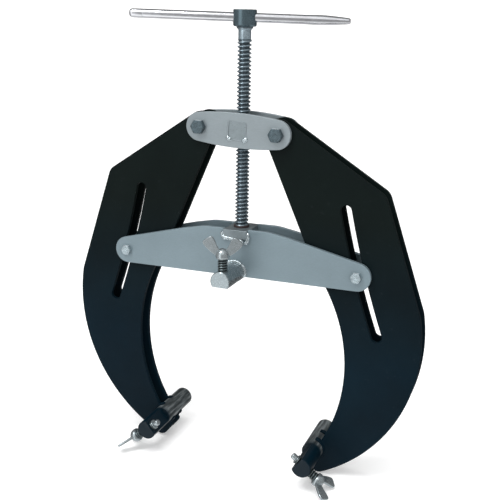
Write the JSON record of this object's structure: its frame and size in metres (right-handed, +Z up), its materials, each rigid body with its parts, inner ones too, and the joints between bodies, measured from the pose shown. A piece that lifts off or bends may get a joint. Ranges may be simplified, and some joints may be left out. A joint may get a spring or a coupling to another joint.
{
  "type": "pipe alignment clamp",
  "caption": "Screw-operated pipe fit-up clamp: slotted curved jaws hang from a yoke and follow a crossbar; foot rods with wing screws centre and grip the pipe.",
  "frame": {"origin": "on the axis of the gripped pipe, midway between the front and rear plates", "axes": "X across the jaws, Y along the pipe with the wing screws at -Y, Z up along the lead screw towards the handle"},
  "size_m": [0.5623, 0.1525, 0.6863],
  "materials": {
    "zinc_plate": "zinc plated, dull, fine mill marks",
    "weld_metal": "weld beads under zinc plating, lumpy and bright",
    "machined_steel": "zinc plated machined steel, satin",
    "screw_steel": "cut thread, darker zinc plating with wear on the crests",
    "thrust_bronze": "brown sintered bronze, oiled",
    "bright_bar": "bright plated round bar",
    "zinc_fastener": "bright zinc plated fasteners",
    "bush_steel": "hardened steel, oiled",
    "bright_screw": "bright plated, darker in the threads",
    "black_coat": "black powder coat, fine texture, thin on the edges"
  },
  "bodies": {
    "yoke": {"yoke_front_plate": "zinc_plate", "yoke_rear_plate": "zinc_plate", "yoke_nut_block": "machined_steel", "yoke_welds": "weld_metal", "pivot_bolts": "zinc_fastener", "pivot_nuts": "zinc_fastener", "pivot_washers": "zinc_fastener", "pivot_bushes": "bush_steel"},
    "crossbar": {"crossbar_front_plate": "zinc_plate", "crossbar_rear_plate": "zinc_plate", "thrust_block": "machined_steel", "thrust_washer": "thrust_bronze", "crossbar_welds": "weld_metal", "crossbar_pins": "zinc_fastener", "crossbar_nuts": "zinc_fastener", "crossbar_washers": "zinc_fastener", "centre_foot_rod": "machined_steel"},
    "lead_screw": {"lead_screw": "screw_steel", "screw_head": "machined_steel", "head_weld": "weld_metal", "retaining_collar": "machined_steel", "collar_pin": "machined_steel"},
    "handle_bar": {"handle_bar": "bright_bar"},
    "left_jaw": {"left_jaw_front_plate": "black_coat", "left_jaw_rear_plate": "black_coat", "left_jaw_spacers": "black_coat", "left_jaw_welds": "black_coat", "left_foot_rod": "black_coat"},
    "right_jaw": {"right_jaw_front_plate": "black_coat", "right_jaw_rear_plate": "black_coat", "right_jaw_spacers": "black_coat", "right_jaw_welds": "black_coat", "right_foot_rod": "black_coat"},
    "left_screw_tip": {"left_screw_tip": "bright_screw"},
    "left_wing_screw": {"left_wing_screw": "bright_screw"},
    "right_screw_tip": {"right_screw_tip": "bright_screw"},
    "right_wing_screw": {"right_wing_screw": "bright_screw"},
    "centre_screw_tip": {"centre_screw_tip": "bright_screw"},
    "centre_wing_screw": {"centre_wing_screw": "bright_screw"}
  },
  "joints": [
    {"name": "crossbar_travel", "type": "slide", "parent": "yoke", "child": "crossbar", "axis": [0, 0, 1], "range_m": [-0.07, 0.064]},
    {"name": "screw_turn", "type": "hinge", "parent": "crossbar", "child": "lead_screw", "pos_m": [0, 0, 0.23], "axis": [0, 0, 1], "range_deg": [-4464, 4080]},
    {"name": "left_jaw_swing", "type": "hinge", "parent": "yoke", "child": "left_jaw", "pos_m": [-0.05995, 0, 0.37841], "axis": [0, 1, 0], "range_deg": [-4.95, 4.55]},
    {"name": "right_jaw_swing", "type": "hinge", "parent": "yoke", "child": "right_jaw", "pos_m": [0.05995, 0, 0.37359], "axis": [0, -1, 0], "range_deg": [-4.95, 4.55]},
    {"name": "handle_slide", "type": "slide", "parent": "lead_screw", "child": "handle_bar", "axis": [0.9779, 0.2079, -0.0209], "range_m": [-0.065, 0.14]},
    {"name": "left_tip_travel", "type": "slide", "parent": "left_jaw", "child": "left_screw_tip", "axis": [0.7766, 0, 0.63], "range_m": [-0.016, 0.004]},
    {"name": "left_wing_turn", "type": "hinge", "parent": "left_screw_tip", "child": "left_wing_screw", "pos_m": [-0.12587, -0.0689, -0.10123], "axis": [0.7766, 0, 0.63], "range_deg": [-1515, 378]},
    {"name": "right_tip_travel", "type": "slide", "parent": "right_jaw", "child": "right_screw_tip", "axis": [-0.7864, 0, 0.6177], "range_m": [-0.016, 0.004]},
    {"name": "right_wing_turn", "type": "hinge", "parent": "right_screw_tip", "child": "right_wing_screw", "pos_m": [0.1334, -0.0689, -0.10495], "axis": [-0.7864, 0, 0.6177], "range_deg": [-1515, 378]},
    {"name": "centre_tip_travel", "type": "slide", "parent": "crossbar", "child": "centre_screw_tip", "axis": [0, 0, -1], "range_m": [-0.004, 0.015]},
    {"name": "centre_wing_turn", "type": "hinge", "parent": "centre_screw_tip", "child": "centre_wing_screw", "pos_m": [0, -0.0689, 0.1651], "axis": [0, 0, -1], "range_deg": [-378, 1420]}
  ],
  "couplings": [
    {"joint": "crossbar_travel", "follows": "screw_turn", "m_per_rad": 0.00089834},
    {"joint": "left_jaw_swing", "follows": "screw_turn", "ratio": 0.0011005},
    {"joint": "right_jaw_swing", "follows": "screw_turn", "ratio": 0.0011005},
    {"joint": "left_tip_travel", "follows": "left_wing_turn", "m_per_rad": 0.00060479},
    {"joint": "right_tip_travel", "follows": "right_wing_turn", "m_per_rad": 0.00060479},
    {"joint": "centre_tip_travel", "follows": "centre_wing_turn", "m_per_rad": 0.00060479}
  ]
}
